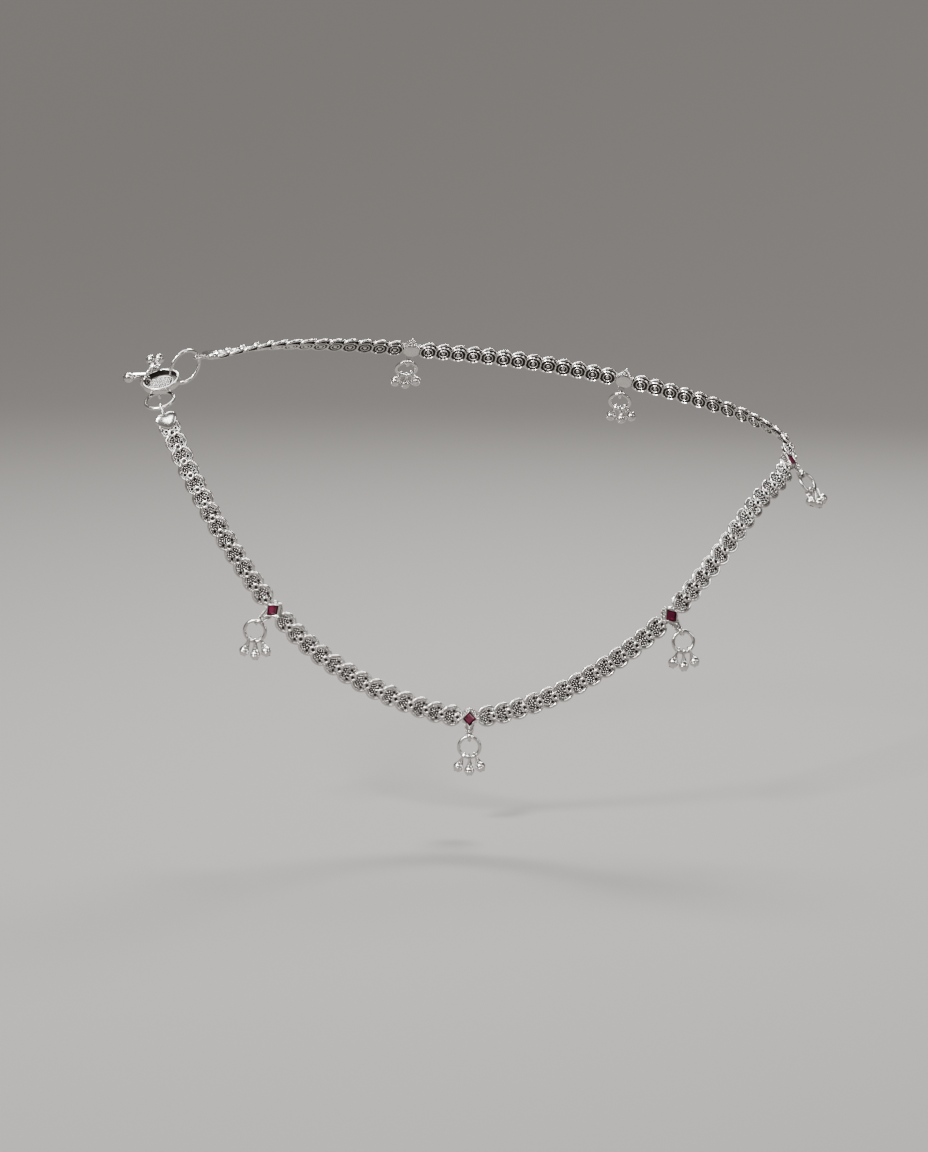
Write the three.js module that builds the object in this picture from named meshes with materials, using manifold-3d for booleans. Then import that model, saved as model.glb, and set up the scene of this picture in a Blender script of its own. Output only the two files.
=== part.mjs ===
// Payal anklet: a whole loop of scale-like chain with six lozenge stones, each over a jump ring
// with three ghungroos, closed by a ring, an oval plate hook and a second ring.
// Millimetres, +Z up, origin at the centre of the opening that the ankle goes through.
import * as THREE from 'three';
import { ParametricGeometry } from 'three/addons/geometries/ParametricGeometry.js';
import { mergeVertices } from 'three/addons/utils/BufferGeometryUtils.js';
import Module from 'manifold-3d';

const wasm = await Module();
wasm.setup();

// The way the chain goes, from one end tag round to the other, and the way its face looks there.
const routeTable = [
  { x: -51.5, y: -9, z: 20, faceX: -0.15, faceY: -0.53, faceZ: 0.83 },
  { x: -47, y: -13, z: 11, faceX: -0.3, faceY: -0.8, faceZ: 0.5 },
  { x: -41.8, y: -16, z: 2, faceX: -0.3, faceY: -0.9, faceZ: 0.25 },
  { x: -33.2, y: -18, z: -10.3, faceX: -0.2, faceY: -1, faceZ: 0.1 },
  { x: -25, y: -19, z: -18, faceX: -0.1, faceY: -1, faceZ: 0.05 },
  { x: -13.5, y: -19.5, z: -24.5, faceX: 0, faceY: -1, faceZ: 0 },
  { x: -1.5, y: -20, z: -27.5, faceX: 0, faceY: -1, faceZ: 0 },
  { x: 11, y: -19.5, z: -24.5, faceX: 0, faceY: -1, faceZ: 0 },
  { x: 22.5, y: -19, z: -18, faceX: 0.1, faceY: -1, faceZ: 0.05 },
  { x: 31, y: -18, z: -11, faceX: 0.2, faceY: -1, faceZ: 0.1 },
  { x: 39.5, y: -13, z: -2, faceX: 0.35, faceY: -0.85, faceZ: 0.3 },
  { x: 46, y: -7, z: 5.5, faceX: 0.5, faceY: -0.7, faceZ: 0.5 },
  { x: 51.7, y: 0.5, z: 10, faceX: 0.65, faceY: -0.4, faceZ: 0.65 },
  { x: 52.8, y: 7.5, z: 14, faceX: 0.7, faceY: 0.1, faceZ: 0.7 },
  { x: 47.5, y: 13, z: 17, faceX: 0.45, faceY: 0.55, faceZ: 0.7 },
  { x: 38, y: 16.5, z: 20, faceX: 0.2, faceY: 0.8, faceZ: 0.6 },
  { x: 24, y: 18, z: 23.5, faceX: 0.05, faceY: 0.85, faceZ: 0.55 },
  { x: 8, y: 17.5, z: 26.5, faceX: 0, faceY: 0.85, faceZ: 0.55 },
  { x: -8, y: 15.5, z: 28.5, faceX: 0, faceY: 0.8, faceZ: 0.6 },
  { x: -22.5, y: 12, z: 30, faceX: -0.1, faceY: 0.6, faceZ: 0.8 },
  { x: -35, y: 7, z: 30.6, faceX: -0.2, faceY: 0.25, faceZ: 0.95 },
  { x: -44.8, y: 1.6, z: 29.6, faceX: -0.25, faceY: -0.2, faceZ: 0.95 },
];

// The chain: seven stretches of thirteen links, with a setting between each two.
const dropCount = 6;
const linksPerStretch = 13;
const settingShare = 3.3; // length of chain that one setting takes
const chainWidth = 3.55;
const chainDepth = 1.5;
const chainGap = 0.18; // from the end of a stretch to the setting or tag

// The lozenge setting, its stone, and the stem below it.
const bezelWide = 3.0;
const bezelTall = 3.4;
const bezelFloor = -0.6;
const bezelRim = 0.95;
const stoneWide = 2.2;
const stoneTall = 2.5;
const stoneSeat = 0.3;
const stoneTop = 1.0;
const stoneGap = 0.1;
const stemTop = 1.3; // below the stone's middle
const stemBottom = 2.8;
const stemWideTop = 0.75;
const stemWideBottom = 0.5;
const eyeMiddle = 3.3;
const eyeRadius = 0.7;
const eyeWire = 0.2;

// The jump ring of a drop and the ghungroos on it.
const ringRadius = 1.74;
const ringWire = 0.31;
const stemTurns = [0, 0, -9, 0, 0, 0]; // degrees that each setting is turned in the chain's face
const ringFollow = 0.55; // share of the way from the stem's line to plumb
const ghungrooTable = [
  { turn: -34, reach: 2.1 }, // degrees round the ring from its lowest point
  { turn: 0, reach: 2.25 },
  { turn: 34, reach: 2.1 },
];
const ghungrooSpread = 0.7; // share of that turn that a ghungroo leans by
const ballRadius = 0.86;
const bailHalfWide = 0.58;
const bailWire = 0.15;
const bailAbove = 0.54; // from the ring's wire to the top of the bail

// The end tags and the clasp.
const tagWide = 3.7;
const tagLong = 2.9;
const tagThick = 0.7;
const tagLoopReach = 3.4; // from the tag's middle to the far end of its loop
const tagLoopHalfWide = 0.72;
const tagLoopWire = 0.2;
const claspWire = 0.3;
const hookMiddle = new THREE.Vector3(-52.9, -3.4, 25.9);
const hookFace = new THREE.Vector3(-0.15, -0.53, 0.83);
const hookAlong = new THREE.Vector3(0.97, 0.08, 0.22);
const hookLong = 6.3;
const hookWide = 5.3;
const hookWall = 0.45;
const hookDeep = 1.2;
const hookPlate = { x: -0.2, y: -0.65, halfLong: 2.15, halfWide: 1.6, turn: 10, low: -0.35, high: 0.1 };
const hookEye = { x: -0.9, y: -1.2, z: -1.3, radius: 0.86, wire: 0.22 };
const hookCurl = { x: -2.5, y: 0.9, radius: 1.05, hole: 0.6, halfDeep: 0.5 };
const hookGrip = new THREE.Vector3(1.8, 0.75, 0); // where the second ring goes through
const charmRing = { x: -1.3, y: 1.96, z: 0, radius: 1.6, wire: 0.24, turn: 41 };
const charmTable = [
  { ringTurn: 130, towardX: -1, towardY: 0.05, towardZ: 0, reach: 3.1 },
  { ringTurn: 75, towardX: 0, towardY: 1, towardZ: 0, reach: 2.1 },
  { ringTurn: 35, towardX: 0.2, towardY: 1, towardZ: -0.2, reach: 2.9 },
];

const silver = { color: 0xd9d2cd, roughness: 0.28, metalness: 1 };
const ruby = { color: 0x6d0a38, roughness: 0.08, metalness: 0 };

const shortestEdge = 0.03; // kept where two shapes are joined
const wireSides = 5;
const ringSteps = 18;
const eyeSteps = 10;
const stemSides = 6;
const ballSides = 8;
const ballRows = 6;
const curlSides = 14;
const hangSlack = 0.05; // between two wires that hang in one another

const deg = THREE.MathUtils.degToRad;
const anklet = new THREE.Group();

const routePoints = routeTable.map((row) => new THREE.Vector3(row.x, row.y, row.z));
const routeFaces = routeTable.map((row) => new THREE.Vector3(row.faceX, row.faceY, row.faceZ));
const route = new THREE.CatmullRomCurve3(routePoints, false, 'centripetal');
route.arcLengthDivisions = 2000;
const routeLength = route.getLength();
const linkPitch = (routeLength - dropCount * settingShare) / ((dropCount + 1) * linksPerStretch);
const dropSpacing = linksPerStretch * linkPitch + settingShare;
const firstDrop = linksPerStretch * linkPitch + settingShare / 2;

// The chain's frame at a distance along it: x along the chain, z out of its face, y away from
// the drops.
function frameAt(distance) {
  const t = route.getUtoTmapping(0, distance);
  const place = t * (routePoints.length - 1);
  const row = Math.min(Math.floor(place), routePoints.length - 2);
  const along = route.getTangent(t);
  const face = routeFaces[row].clone().lerp(routeFaces[row + 1], place - row);
  face.addScaledVector(along, -face.dot(along)).normalize();
  const up = new THREE.Vector3().crossVectors(face, along);
  return { origin: route.getPoint(t), along, up, face };
}

// One stretch of the chain as a curve whose sections keep the chain's own face.
class ChainStretch extends THREE.Curve {
  constructor(from, to) {
    super();
    this.from = from;
    this.to = to;
  }

  distance(u) {
    return this.from + (this.to - this.from) * u;
  }

  getPoint(u, target = new THREE.Vector3()) {
    return target.copy(frameAt(this.distance(u)).origin);
  }

  getPointAt(u, target) {
    return this.getPoint(u, target);
  }

  computeFrenetFrames(steps) {
    const frames = Array.from({ length: steps + 1 }, (_, i) => frameAt(this.distance(i / steps)));
    return {
      tangents: frames.map((frame) => frame.along),
      normals: frames.map((frame) => frame.up),
      binormals: frames.map((frame) => frame.face),
    };
  }
}

function solidOf(geometry) {
  const bare = geometry.clone();
  bare.deleteAttribute('normal');
  bare.deleteAttribute('uv');
  const merged = mergeVertices(bare, 1e-4);
  return new wasm.Manifold(new wasm.Mesh({
    numProp: 3,
    vertProperties: new Float32Array(merged.attributes.position.array),
    triVerts: new Uint32Array(merged.index.array),
  }));
}

function geometryOf(solid) {
  const found = solid.getMesh();
  const geometry = new THREE.BufferGeometry();
  geometry.setAttribute('position', new THREE.BufferAttribute(found.vertProperties, 3));
  geometry.setIndex(new THREE.BufferAttribute(found.triVerts, 1));
  return geometry;
}

function joined(...geometries) {
  const whole = geometries.map(solidOf).reduce((sum, more) => sum.add(more));
  return geometryOf(whole.simplify(shortestEdge));
}

function cut(geometry, tool) {
  return geometryOf(solidOf(geometry).subtract(solidOf(tool)).simplify(shortestEdge));
}

function add(parent, name, geometry, look) {
  const mesh = new THREE.Mesh(geometry, new THREE.MeshStandardMaterial(look));
  mesh.name = name;
  parent.add(mesh);
  return mesh;
}

function groupAt(parent, frame) {
  const group = new THREE.Group();
  group.position.copy(frame.origin);
  const basis = new THREE.Matrix4().makeBasis(frame.along, frame.up, frame.face);
  group.quaternion.setFromRotationMatrix(basis);
  parent.add(group);
  return group;
}

// A closed wire in the local XY plane, with two straight sides along Y and round ends.
function linkWire(halfLong, halfWide, wire, steps = 10, sides = 4) {
  const wireAt = (u, v, target) => {
    const turn = u * 2 * Math.PI;
    const round = v * 2 * Math.PI;
    const side = Math.cos(turn);
    const end = Math.sin(turn);
    const reach = halfWide + wire * Math.cos(round);
    const shift = (halfLong - halfWide) * Math.sign(Math.round(end * 1e6));
    target.set(side * reach, end * reach + shift, wire * Math.sin(round));
  };
  return new ParametricGeometry(wireAt, steps, sides);
}

function roundRing(radius, wire) {
  return new THREE.TorusGeometry(radius, wire, wireSides, ringSteps);
}

function lozenge(wide, tall, low, high) {
  const shape = new THREE.Shape([
    new THREE.Vector2(wide / 2, 0),
    new THREE.Vector2(0, tall / 2),
    new THREE.Vector2(-wide / 2, 0),
    new THREE.Vector2(0, -tall / 2),
  ]);
  const geometry = new THREE.ExtrudeGeometry(shape, { depth: high - low, bevelEnabled: false });
  return geometry.translate(0, 0, low);
}

function ovalShape(halfX, halfY) {
  return new THREE.Shape().absellipse(0, 0, halfX, halfY, 0, 2 * Math.PI);
}

function extruded(shape, low, high, curveSegments) {
  const options = { depth: high - low, bevelEnabled: false, curveSegments };
  return new THREE.ExtrudeGeometry(shape, options).translate(0, 0, low);
}

function chainStretch(from, to) {
  const section = new THREE.Shape();
  section.absellipse(0, 0, chainWidth / 2, chainDepth / 2, 0, 2 * Math.PI);
  return new THREE.ExtrudeGeometry(section, {
    steps: linksPerStretch,
    curveSegments: 4,
    extrudePath: new ChainStretch(from, to),
  });
}

function settingGeometry() {
  const pocket = lozenge(stoneWide, stoneTall, stoneSeat, bezelRim + 1);
  const bezel = cut(lozenge(bezelWide, bezelTall, bezelFloor, bezelRim), pocket);
  const stem = new THREE.CylinderGeometry(stemWideTop, stemWideBottom, stemBottom - stemTop, stemSides);
  stem.translate(0, -(stemTop + stemBottom) / 2, 0);
  const eye = new THREE.TorusGeometry(eyeRadius, eyeWire, wireSides, eyeSteps);
  eye.rotateY(Math.PI / 2).translate(0, -eyeMiddle, 0);
  return joined(bezel, stem, eye);
}

function stoneGeometry() {
  const wide = stoneWide - 2 * stoneGap;
  const tall = stoneTall - 2 * stoneGap;
  return lozenge(wide, tall, stoneSeat + stoneGap, stoneTop);
}

// A ghungroo hangs down its own -Y from the wire at its origin, with its bail across X.
function ghungrooGeometry(reach) {
  const bailBelow = reach - ballRadius + bailWire;
  const halfLong = (bailAbove + bailBelow) / 2;
  const bail = linkWire(halfLong, bailHalfWide, bailWire);
  bail.rotateY(Math.PI / 2).translate(0, (bailAbove - bailBelow) / 2, 0);
  const ball = new THREE.SphereGeometry(ballRadius, ballSides, ballRows);
  ball.rotateY(Math.PI / ballSides).translate(0, -reach, 0); // its edges keep clear of the bail's
  return joined(bail, ball);
}

function addDrop(number, distance) {
  const frame = frameAt(distance);
  const stemTurn = deg(stemTurns[number - 1]);
  const drop = new THREE.Group();
  drop.rotation.z = stemTurn;
  groupAt(anklet, frame).add(drop);
  add(drop, `setting_${number}`, settingGeometry(), silver);
  add(drop, `stone_${number}`, stoneGeometry(), ruby);

  // Plumb, seen in the chain's face, as a turn from the stem's line.
  const plumb = Math.atan2(-frame.along.z, frame.up.z);
  const ring = new THREE.Group();
  ring.position.set(0, -eyeMiddle, 0);
  ring.rotation.z = (plumb - stemTurn) * ringFollow;
  drop.add(ring);
  const hung = new THREE.Group();
  hung.position.set(0, -ringRadius - hangSlack, 0);
  hung.rotation.z = (plumb - stemTurn) * (1 - ringFollow);
  ring.add(hung);
  add(hung, `drop_ring_${number}`, roundRing(ringRadius, ringWire), silver);
  ghungrooTable.forEach((row, i) => {
    const turn = deg(row.turn);
    const arm = new THREE.Group();
    arm.position.set(ringRadius * Math.sin(turn), -ringRadius * Math.cos(turn), 0);
    arm.rotation.z = turn * ghungrooSpread;
    hung.add(arm);
    add(arm, `ghungroo_${number}_${i + 1}`, ghungrooGeometry(row.reach), silver);
  });
}

// A heart-shaped plate at x = 0 whose tip points along +X, with a wire loop out along -X.
function tagGeometry(loopLiesFlat) {
  const tip = tagLong / 2;
  const side = tagWide / 2;
  const heart = new THREE.Shape();
  heart.moveTo(tip, 0);
  heart.quadraticCurveTo(tip * 0.6, side * 0.8, -tip * 0.2, side);
  heart.quadraticCurveTo(-tip * 1.1, side * 0.95, -tip, side * 0.35);
  heart.quadraticCurveTo(-tip * 0.95, side * 0.1, -tip * 0.75, 0);
  heart.quadraticCurveTo(-tip * 0.95, -side * 0.1, -tip, -side * 0.35);
  heart.quadraticCurveTo(-tip * 1.1, -side * 0.95, -tip * 0.2, -side);
  heart.quadraticCurveTo(tip * 0.6, -side * 0.8, tip, 0);
  const plate = extruded(heart, -tagThick / 2, tagThick / 2, 4);
  const root = tip * 0.6;
  const halfLong = (tagLoopReach - tagLoopWire - root) / 2;
  const loop = linkWire(halfLong, tagLoopHalfWide, tagLoopWire);
  loop.rotateZ(Math.PI / 2).translate(-root - halfLong, 0, 0);
  if (!loopLiesFlat) loop.rotateX(Math.PI / 2);
  return joined(plate, loop);
}

function hookGeometry() {
  const strip = ovalShape(hookLong / 2, hookWide / 2);
  strip.holes.push(ovalShape(hookLong / 2 - hookWall, hookWide / 2 - hookWall));
  const wall = extruded(strip, -hookDeep / 2, hookDeep / 2, 10);
  const { x, y, halfLong, halfWide, turn, low, high } = hookPlate;
  const plate = extruded(ovalShape(halfLong, halfWide), low, high, 7);
  plate.rotateZ(deg(turn)).translate(x, y, 0);
  const eye = new THREE.TorusGeometry(hookEye.radius, hookEye.wire, wireSides, eyeSteps);
  eye.rotateY(Math.PI / 2).translate(hookEye.x, hookEye.y, hookEye.z);
  const curl = hookRound(hookCurl.radius, hookCurl.halfDeep);
  const whole = joined(wall, plate, eye, curl);
  return cut(whole, hookRound(hookCurl.hole, hookDeep));
}

function hookRound(radius, halfDeep) {
  const round = new THREE.CylinderGeometry(radius, radius, 2 * halfDeep, curlSides);
  return round.rotateX(Math.PI / 2).translate(hookCurl.x, hookCurl.y, 0);
}

// A frame whose y is up exactly, and whose x is as near across as that allows.
function frameFrom(origin, across, up) {
  const y = up.clone().normalize();
  const x = across.clone().addScaledVector(y, -across.dot(y)).normalize();
  return { origin, along: x, up: y, face: new THREE.Vector3().crossVectors(x, y) };
}

// A round ring that passes through two points, its plane turned so that x lies across.
function addRingBetween(name, from, to, across) {
  const middle = from.clone().add(to).multiplyScalar(0.5);
  const group = groupAt(anklet, frameFrom(middle, across, to.clone().sub(from)));
  const radius = from.distanceTo(to) / 2;
  add(group, name, roundRing(radius, claspWire), silver);
}

function addTag(name, distance, turn, loopLiesFlat) {
  const holder = groupAt(anklet, frameAt(distance));
  const tag = new THREE.Group();
  tag.rotation.z = turn;
  holder.add(tag);
  add(tag, name, tagGeometry(loopLiesFlat), silver);
  const seat = tagLoopReach - tagLoopWire - tagLoopHalfWide + hangSlack;
  anklet.updateMatrixWorld(true);
  return tag.localToWorld(new THREE.Vector3(-seat, 0, 0));
}

function addCharms(hook) {
  const turn = deg(charmRing.turn);
  const charm = new THREE.Group();
  charm.position.set(charmRing.x, charmRing.y, charmRing.z);
  charm.rotation.set(Math.PI / 2, turn, 0);
  hook.add(charm);
  add(charm, 'charm_ring', roundRing(charmRing.radius, charmRing.wire), silver);
  anklet.updateMatrixWorld(true);
  const { along, up, face } = frameOf(hook);
  charmTable.forEach((row, i) => {
    const angle = deg(row.ringTurn);
    const seat = new THREE.Vector3(Math.cos(angle), Math.sin(angle), 0);
    const tangent = new THREE.Vector3(-Math.sin(angle), Math.cos(angle), 0);
    const origin = charm.localToWorld(seat.multiplyScalar(charmRing.radius));
    const away = new THREE.Vector3();
    away.addScaledVector(along, row.towardX).addScaledVector(up, row.towardY);
    away.addScaledVector(face, row.towardZ).negate();
    const holder = groupAt(anklet, frameFrom(origin, tangent.transformDirection(charm.matrixWorld), away));
    add(holder, `clasp_ghungroo_${i + 1}`, ghungrooGeometry(row.reach), silver);
  });
}

function frameOf(group) {
  const along = new THREE.Vector3();
  const up = new THREE.Vector3();
  const face = new THREE.Vector3();
  group.matrixWorld.extractBasis(along, up, face);
  return { along, up, face };
}

function addClasp() {
  const firstSeat = addTag('end_tag_left', 0, 0, false);
  const lastSeat = addTag('end_tag_right', routeLength, Math.PI, true);
  const face = hookFace.clone().normalize();
  const up = new THREE.Vector3().crossVectors(face, hookAlong);
  const hook = groupAt(anklet, frameFrom(hookMiddle, hookAlong, up));
  add(hook, 'clasp_hook', hookGeometry(), silver);
  anklet.updateMatrixWorld(true);
  const eyeSeat = hook.localToWorld(new THREE.Vector3(hookEye.x, hookEye.y, hookEye.z));
  const gripSeat = hook.localToWorld(hookGrip.clone());
  addRingBetween('clasp_ring', firstSeat, eyeSeat, hookAlong);
  addRingBetween('closing_ring', gripSeat, lastSeat, face);
  addCharms(hook);
}

function addChain() {
  const middles = Array.from({ length: dropCount }, (_, i) => firstDrop + i * dropSpacing);
  const fromEdge = tagLong / 2 + chainGap;
  const fromDrop = bezelWide / 2 + chainGap;
  const starts = [fromEdge, ...middles.map((middle) => middle + fromDrop)];
  const ends = [...middles.map((middle) => middle - fromDrop), routeLength - fromEdge];
  starts.forEach((start, i) => {
    add(anklet, `chain_${i + 1}`, chainStretch(start, ends[i]), silver);
  });
  middles.forEach((middle, i) => addDrop(i + 1, middle));
}

addChain();
addClasp();

export default anklet;
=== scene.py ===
import math
import bpy
import numpy as np
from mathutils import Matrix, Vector


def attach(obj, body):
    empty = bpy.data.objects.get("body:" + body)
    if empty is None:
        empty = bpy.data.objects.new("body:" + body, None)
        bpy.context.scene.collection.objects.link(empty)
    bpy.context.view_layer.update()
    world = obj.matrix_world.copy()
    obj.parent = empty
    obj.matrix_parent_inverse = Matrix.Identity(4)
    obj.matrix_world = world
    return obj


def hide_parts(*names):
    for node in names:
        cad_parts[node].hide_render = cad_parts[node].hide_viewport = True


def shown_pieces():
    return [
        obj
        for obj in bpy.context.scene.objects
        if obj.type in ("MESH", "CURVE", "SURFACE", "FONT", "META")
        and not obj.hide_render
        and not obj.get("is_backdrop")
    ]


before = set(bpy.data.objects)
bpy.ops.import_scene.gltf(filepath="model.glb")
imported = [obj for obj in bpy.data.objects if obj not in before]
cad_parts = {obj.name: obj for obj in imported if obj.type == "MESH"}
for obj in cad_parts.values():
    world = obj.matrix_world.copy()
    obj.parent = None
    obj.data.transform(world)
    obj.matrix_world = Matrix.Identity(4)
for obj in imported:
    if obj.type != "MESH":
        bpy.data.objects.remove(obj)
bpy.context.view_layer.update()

mm = 0.001

# The way the chain goes and the way its face looks there, point by point, as in the CAD model.
route = [
    {"at": (-51.5, -9, 20), "face": (-0.15, -0.53, 0.83)},
    {"at": (-47, -13, 11), "face": (-0.3, -0.8, 0.5)},
    {"at": (-41.8, -16, 2), "face": (-0.3, -0.9, 0.25)},
    {"at": (-33.2, -18, -10.3), "face": (-0.2, -1, 0.1)},
    {"at": (-25, -19, -18), "face": (-0.1, -1, 0.05)},
    {"at": (-13.5, -19.5, -24.5), "face": (0, -1, 0)},
    {"at": (-1.5, -20, -27.5), "face": (0, -1, 0)},
    {"at": (11, -19.5, -24.5), "face": (0, -1, 0)},
    {"at": (22.5, -19, -18), "face": (0.1, -1, 0.05)},
    {"at": (31, -18, -11), "face": (0.2, -1, 0.1)},
    {"at": (39.5, -13, -2), "face": (0.35, -0.85, 0.3)},
    {"at": (46, -7, 5.5), "face": (0.5, -0.7, 0.5)},
    {"at": (51.7, 0.5, 10), "face": (0.65, -0.4, 0.65)},
    {"at": (52.8, 7.5, 14), "face": (0.7, 0.1, 0.7)},
    {"at": (47.5, 13, 17), "face": (0.45, 0.55, 0.7)},
    {"at": (38, 16.5, 20), "face": (0.2, 0.8, 0.6)},
    {"at": (24, 18, 23.5), "face": (0.05, 0.85, 0.55)},
    {"at": (8, 17.5, 26.5), "face": (0, 0.85, 0.55)},
    {"at": (-8, 15.5, 28.5), "face": (0, 0.8, 0.6)},
    {"at": (-22.5, 12, 30), "face": (-0.1, 0.6, 0.8)},
    {"at": (-35, 7, 30.6), "face": (-0.2, 0.25, 0.95)},
    {"at": (-44.8, 1.6, 29.6), "face": (-0.25, -0.2, 0.95)},
]
routePoints = np.array([row["at"] for row in route], float)
routeFaces = np.array([row["face"] for row in route], float)


def unit(v):
    v = np.asarray(v, float)
    return v / np.linalg.norm(v)


# The route is a centripetal Catmull-Rom curve through the points.
def routeAt(t):
    place = min(max(t, 0), 1) * (len(routePoints) - 1)
    row = min(int(place), len(routePoints) - 2)
    share = place - row
    p1, p2 = routePoints[row], routePoints[row + 1]
    p0 = routePoints[row - 1] if row > 0 else 2 * p1 - p2
    p3 = routePoints[row + 2] if row + 2 < len(routePoints) else 2 * p2 - p1
    d0, d1, d2 = (math.sqrt(np.linalg.norm(b - a)) for a, b in ((p0, p1), (p1, p2), (p2, p3)))
    t1 = ((p1 - p0) / d0 - (p2 - p0) / (d0 + d1) + (p2 - p1) / d1) * d1
    t2 = ((p2 - p1) / d1 - (p3 - p1) / (d1 + d2) + (p3 - p2) / d2) * d1
    c2 = -3 * p1 + 3 * p2 - 2 * t1 - t2
    c3 = 2 * p1 - 2 * p2 + t1 + t2
    return p1 + t1 * share + c2 * share**2 + c3 * share**3


routeSteps = np.linspace(0, 1, 2001)
routeSamples = np.array([routeAt(t) for t in routeSteps])
routeRun = np.concatenate([[0], np.cumsum(np.linalg.norm(np.diff(routeSamples, axis=0), axis=1))])
routeLength = routeRun[-1]


# A frame is a 4x4 matrix: x along, y up, z out of the face, and the origin.
def frameOf(along, up, face, origin):
    matrix = np.eye(4)
    matrix[:3, 0], matrix[:3, 1], matrix[:3, 2], matrix[:3, 3] = along, up, face, origin
    return matrix


def chainFrame(distance):
    t = float(np.interp(distance, routeRun, routeSteps))
    place = t * (len(routePoints) - 1)
    row = min(int(place), len(routePoints) - 2)
    along = unit(routeAt(t + 1e-4) - routeAt(t - 1e-4))
    face = routeFaces[row] + (routeFaces[row + 1] - routeFaces[row]) * (place - row)
    face = unit(face - along * (face @ along))
    return frameOf(along, np.cross(face, along), face, routeAt(t))


def moved(x, y, z=0):
    matrix = np.eye(4)
    matrix[:3, 3] = x, y, z
    return matrix


def turned(axis, degrees):
    c, s = math.cos(math.radians(degrees)), math.sin(math.radians(degrees))
    a, b = {"x": (1, 2), "y": (2, 0), "z": (0, 1)}[axis]
    matrix = np.eye(4)
    matrix[a, a], matrix[b, b] = c, c
    matrix[a, b], matrix[b, a] = -s, s
    return matrix


def scaled(x, y, z):
    return np.diag([x, y, z, 1.0])


# A frame whose y is up exactly, and whose x is as near across as that allows.
def frameFrom(origin, across, up):
    y = unit(up)
    x = unit(np.asarray(across, float) - y * (np.asarray(across, float) @ y))
    return frameOf(x, y, np.cross(x, y), origin)


def pointOf(matrix, point):
    return matrix[:3, :3] @ np.asarray(point, float) + matrix[:3, 3]


# A shape is points, triangles, and one value of relief for each point: 1 is polished and
# proud, 0 is a dark recess, painted dark partly as oxide and partly as painted shade.
class Shape:
    def __init__(self, points, triangles, relief=1.0):
        self.points = np.asarray(points, float).reshape(-1, 3)
        self.triangles = np.asarray(triangles, int).reshape(-1, 3)
        self.relief = np.zeros(len(self.points)) + relief

    def at(self, matrix):
        points = self.points @ matrix[:3, :3].T + matrix[:3, 3]
        triangles = self.triangles if np.linalg.det(matrix[:3, :3]) > 0 else self.triangles[:, ::-1]
        return Shape(points, triangles, self.relief)

    def shaded(self, relief):
        return Shape(self.points, self.triangles, relief)

    # Painted shade: the relief falls towards low z, to dark times itself at low and below.
    def shadedByHeight(self, low, high, dark=0.0):
        share = np.clip((self.points[:, 2] - low) / (high - low), 0, 1)
        return Shape(self.points, self.triangles, self.relief * (dark + (1 - dark) * share))


def joined(shapes):
    offsets = np.cumsum([0] + [len(shape.points) for shape in shapes])
    points = np.concatenate([shape.points for shape in shapes])
    triangles = np.concatenate([s.triangles + offset for s, offset in zip(shapes, offsets)])
    return Shape(points, triangles, np.concatenate([shape.relief for shape in shapes]))


# A skin over rings of points, all of one count. It is closed by a tip at each end, or wraps.
def skin(rings, tips=None):
    rings = np.asarray(rings, float)
    count, size = rings.shape[:2]
    rows = np.arange(count if tips is None else count - 1)
    i, j = np.meshgrid(rows, np.arange(size), indexing="ij")
    nextI, nextJ = (i + 1) % count, (j + 1) % size
    a, b, c, d = i * size + j, i * size + nextJ, nextI * size + nextJ, nextI * size + j
    triangles = [np.stack([a, b, c], -1).reshape(-1, 3), np.stack([a, c, d], -1).reshape(-1, 3)]
    points = rings.reshape(-1, 3)
    if tips is not None:
        ring = np.arange(size)
        first, last = len(points), len(points) + 1
        after = (ring + 1) % size
        base = (count - 1) * size
        triangles.append(np.stack([np.full(size, first), after, ring], -1))
        triangles.append(np.stack([np.full(size, last), base + ring, base + after], -1))
        points = np.concatenate([points, np.asarray(tips, float)])
    return Shape(points, np.concatenate(triangles))


# A wire along a path. Its section is `wide` across and `deep` along the reference axis, and
# power below 1 squares it. An open wire has round ends.
def wire(path, wide, deep=None, sides=8, closed=False, axis=(0, 0, 1), power=1.0):
    path = np.asarray(path, float)
    wide = np.zeros(len(path)) + wide
    deep = wide if deep is None else np.zeros(len(path)) + deep
    if closed:
        ahead = np.roll(path, -1, 0) - np.roll(path, 1, 0)
    else:
        ahead = np.gradient(path, axis=0)
    ahead /= np.linalg.norm(ahead, axis=1)[:, None]
    if not closed:
        path, ahead, wide, deep = roundEnds(path, ahead, wide, deep)
    axis = unit(axis)
    depth = axis - ahead * (ahead @ axis)[:, None]
    depth /= np.linalg.norm(depth, axis=1)[:, None]
    across = np.cross(depth, ahead)
    angles = np.arange(sides) * 2 * math.pi / sides
    c = np.sign(np.cos(angles)) * np.abs(np.cos(angles)) ** power
    s = np.sign(np.sin(angles)) * np.abs(np.sin(angles)) ** power
    rings = path[:, None] + across[:, None] * (wide[:, None] * c)[..., None]
    rings = rings + depth[:, None] * (deep[:, None] * s)[..., None]
    if closed:
        return skin(rings)
    tips = [path[0] - ahead[0] * wide[0] * 0.2, path[-1] + ahead[-1] * wide[-1] * 0.2]
    return skin(rings, tips)


# Two smaller rings past each end of a wire.
def roundEnds(path, ahead, wide, deep):
    steps = [(1.0, 0.35), (0.75, 0.75)]  # reach and size of each extra ring, in radii
    first = [(path[0] - ahead[0] * wide[0] * reach, size) for reach, size in steps]
    last = [(path[-1] + ahead[-1] * wide[-1] * reach, size) for reach, size in steps[::-1]]
    newPath = np.array([p for p, _ in first] + list(path) + [p for p, _ in last])
    newAhead = np.array([ahead[0]] * 2 + list(ahead) + [ahead[-1]] * 2)
    newWide = np.array([wide[0] * s for _, s in first] + list(wide) + [wide[-1] * s for _, s in last])
    newDeep = np.array([deep[0] * s for _, s in first] + list(deep) + [deep[-1] * s for _, s in last])
    return newPath, newAhead, newWide, newDeep


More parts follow.
